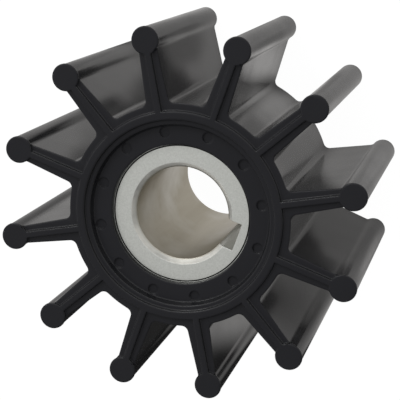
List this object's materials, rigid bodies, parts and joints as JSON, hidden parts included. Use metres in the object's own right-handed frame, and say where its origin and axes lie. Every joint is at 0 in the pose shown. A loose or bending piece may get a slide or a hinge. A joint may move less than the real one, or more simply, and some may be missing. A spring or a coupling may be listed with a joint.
{
  "type": "flexible vane pump impeller",
  "caption": "Flexible-vane impeller: radial rubber vanes with bulb tips on a hub bonded to a keyed metal bush, with a raised ring and ribs on each end.",
  "frame": {"origin": "on the axis of rotation, in the plane that the lower end's ring, ribs and pads share", "axes": "+Z along the axis of rotation from the lower end to the upper end, +X through the keyway and the vane in line with it"},
  "size_m": [0.08, 0.08, 0.0485],
  "materials": {
    "moulded_rubber": "satin moulded, black",
    "turned_metal": "fine turned, with a duller bore"
  },
  "bodies": {
    "root": {"rubber_body": "moulded_rubber", "hub_bush": "turned_metal"}
  },
  "joints": []
}
